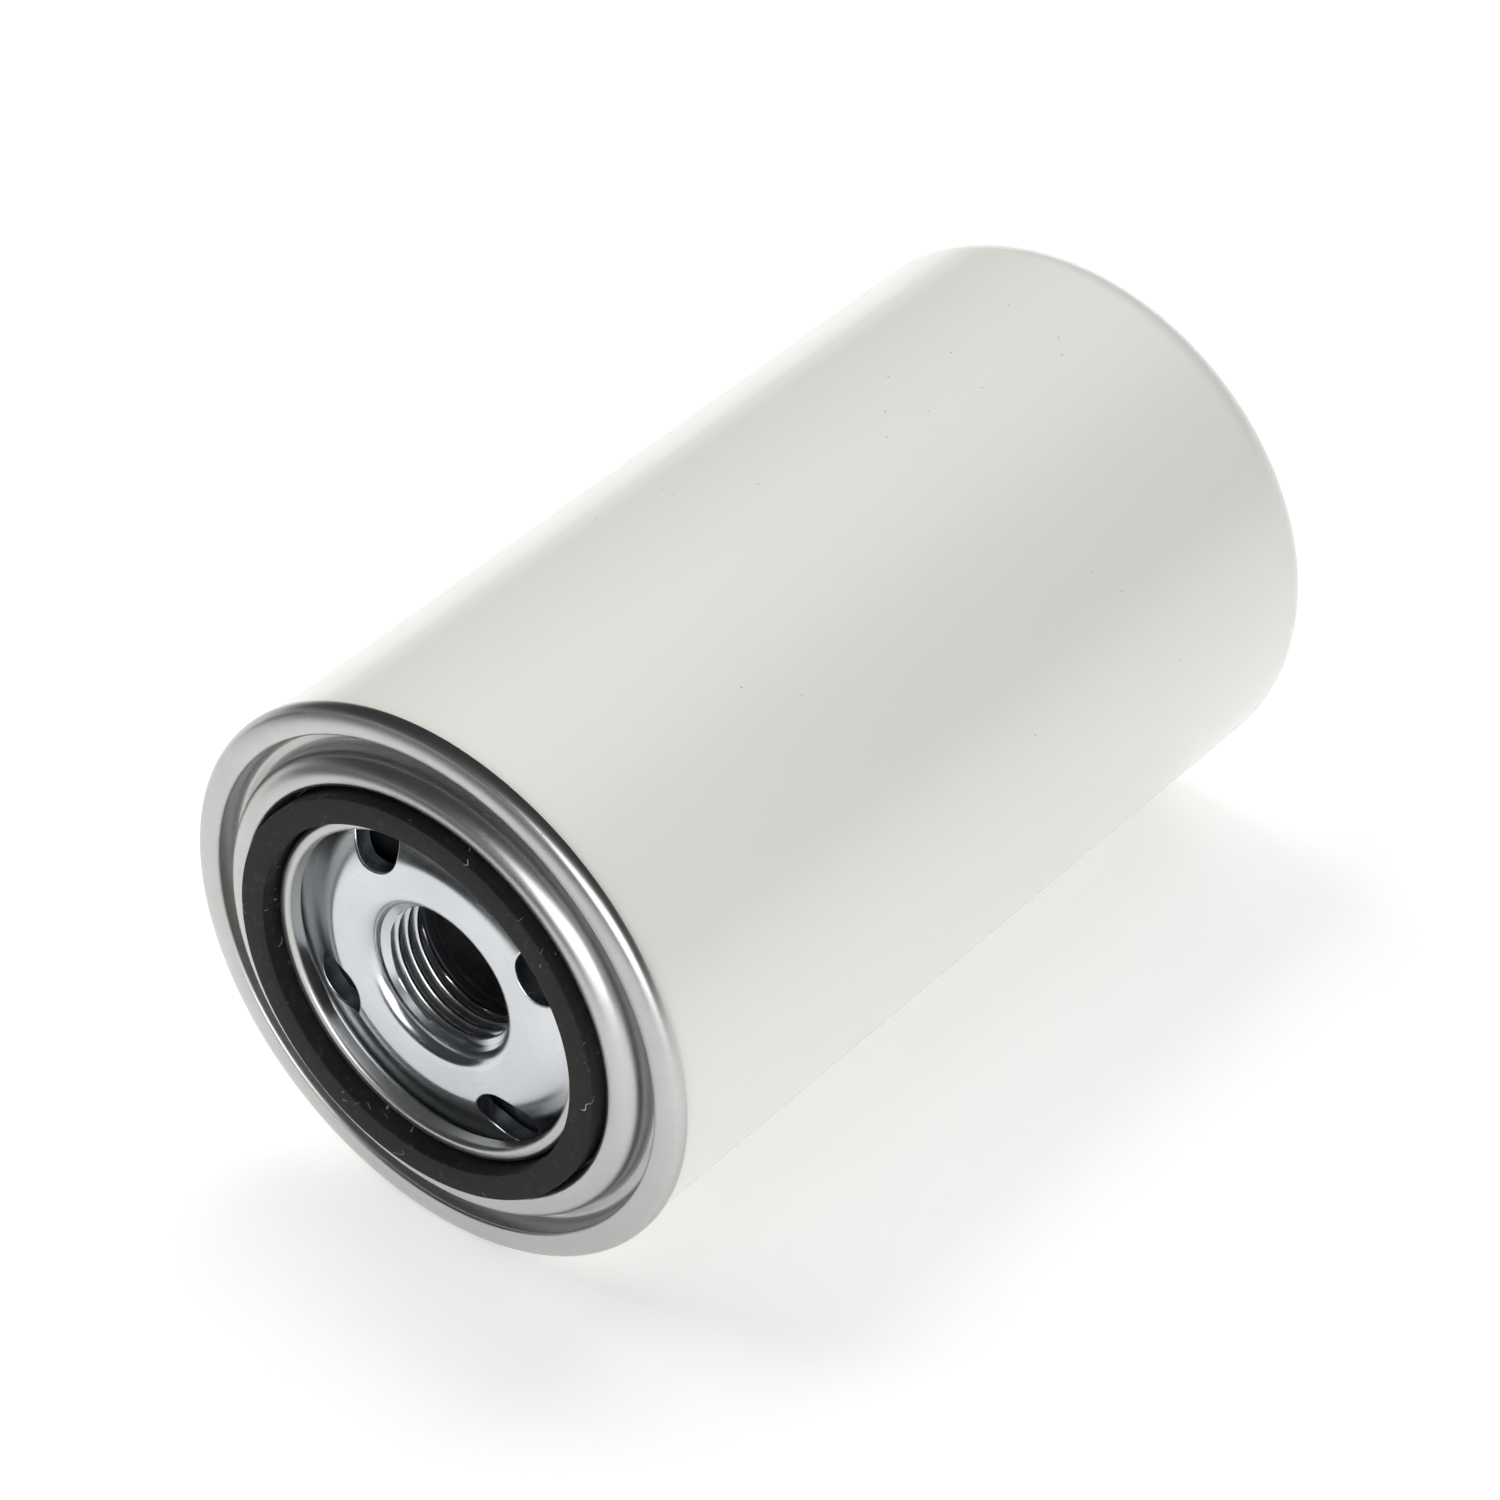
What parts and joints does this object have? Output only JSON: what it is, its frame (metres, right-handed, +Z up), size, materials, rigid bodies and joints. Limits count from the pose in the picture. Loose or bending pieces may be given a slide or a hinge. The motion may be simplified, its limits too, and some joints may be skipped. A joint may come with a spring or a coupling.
{
  "type": "oil filter",
  "caption": "Spin-on oil filter: painted can with a rolled metal lid, threaded plate with inlet holes, sealing gasket, and a pleated element with its valves inside.",
  "frame": {"origin": "on the filter's axis, where the full wall of the threaded bore begins, 3 mm behind the tapping plate's outer face", "axes": "+Y along the filter's axis from the threaded open end to the closed end, +Z up with the filter lying on its side, +X to the right seen from the open end"},
  "size_m": [0.0948, 0.1652, 0.0948],
  "materials": {
    "painted_can": "gloss",
    "zinc_lid": "satin",
    "bright_zinc": "satin",
    "gasket_rubber": "matte",
    "valve_rubber": "semi-matte",
    "tinned_steel": "satin",
    "spring_steel": "satin",
    "filter_paper": "matte",
    "adhesive": "matte",
    "glue_thread": "satin",
    "seam_compound": "matte"
  },
  "bodies": {
    "housing": {"can": "painted_can", "seaming_lid": "zinc_lid", "seam_sealant": "seam_compound", "tapping_plate": "bright_zinc", "gasket": "gasket_rubber", "support_spring": "spring_steel"},
    "drainback_valve": {"anti_drainback_valve": "valve_rubber"},
    "element": {"element_grommet": "valve_rubber", "lower_end_cap": "tinned_steel", "lower_adhesive": "adhesive", "centre_tube": "tinned_steel", "pleated_media": "filter_paper", "media_clip": "tinned_steel", "pleat_bands": "glue_thread", "upper_adhesive": "adhesive", "upper_end_cap": "tinned_steel", "bypass_seat": "tinned_steel", "bypass_spring": "spring_steel", "bypass_cage": "tinned_steel", "spring_seat": "tinned_steel"},
    "bypass_valve": {"bypass_seal": "valve_rubber", "bypass_poppet": "tinned_steel", "bypass_stem": "spring_steel"}
  },
  "joints": [
    {"name": "drainback_lift", "type": "slide", "parent": "housing", "child": "drainback_valve", "axis": [0, 1, 0], "range_m": [0, 0.0012], "stiffness_N_per_m": 500, "springref_m": -0.002},
    {"name": "element_float", "type": "slide", "parent": "housing", "child": "element", "axis": [0, 1, 0], "range_m": [0, 0.0015], "stiffness_N_per_m": 12000, "springref_m": -0.01, "deforming": ["support_spring"]},
    {"name": "bypass_lift", "type": "slide", "parent": "element", "child": "bypass_valve", "axis": [0, -1, 0], "range_m": [0, 0.003], "stiffness_N_per_m": 2000, "springref_m": -0.0056, "deforming": ["bypass_spring"]}
  ]
}
